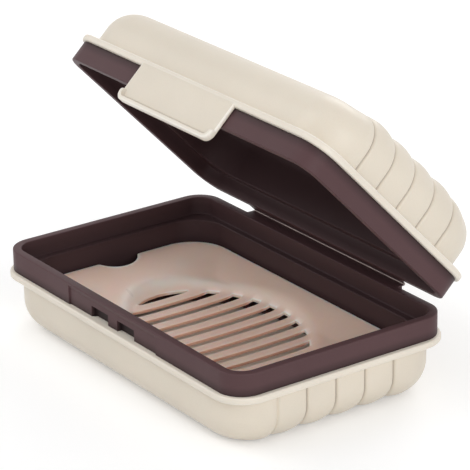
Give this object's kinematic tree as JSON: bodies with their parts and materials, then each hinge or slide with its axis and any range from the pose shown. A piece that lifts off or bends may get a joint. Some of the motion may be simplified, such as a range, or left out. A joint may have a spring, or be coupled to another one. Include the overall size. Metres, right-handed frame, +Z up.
{
  "type": "travel soap box",
  "caption": "Hinged travel soap box with a flip lid, a front latch tab, dark lined halves, scalloped ends and a lift-out slotted soap rack.",
  "frame": {"origin": "middle of the base's flat underside", "axes": "+X along the long side, away from the rack's finger notch; -Y towards the latch side; +Z up"},
  "size_m": [0.1074, 0.0779, 0.0806],
  "materials": {
    "cream_shell": "satin",
    "plum_liner": "satin",
    "blush_rack": "satin"
  },
  "bodies": {
    "base": {"base_shell": "cream_shell", "base_liner": "plum_liner", "hinge_film": "plum_liner"},
    "lid": {"lid_shell": "cream_shell", "lid_liner": "plum_liner"},
    "latch": {"latch_tab": "cream_shell"},
    "rack": {"soap_rack": "blush_rack"}
  },
  "joints": [
    {"name": "lid_hinge", "type": "hinge", "parent": "base", "child": "lid", "pos_m": [0, 0.03442, 0.0216], "axis": [-1, 0, 0], "range_deg": [-46.4, 133.6], "deforming": ["hinge_film"]},
    {"name": "latch_flex", "type": "hinge", "parent": "lid", "child": "latch", "pos_m": [0, -0.00828, 0.07485], "axis": [-1, 0, 0], "range_deg": [0, 10], "stiffness_Nm_per_rad": 0.3},
    {"name": "rack_lift", "type": "slide", "parent": "base", "child": "rack", "axis": [0, 0, 1], "range_m": [0, 0.016]}
  ]
}
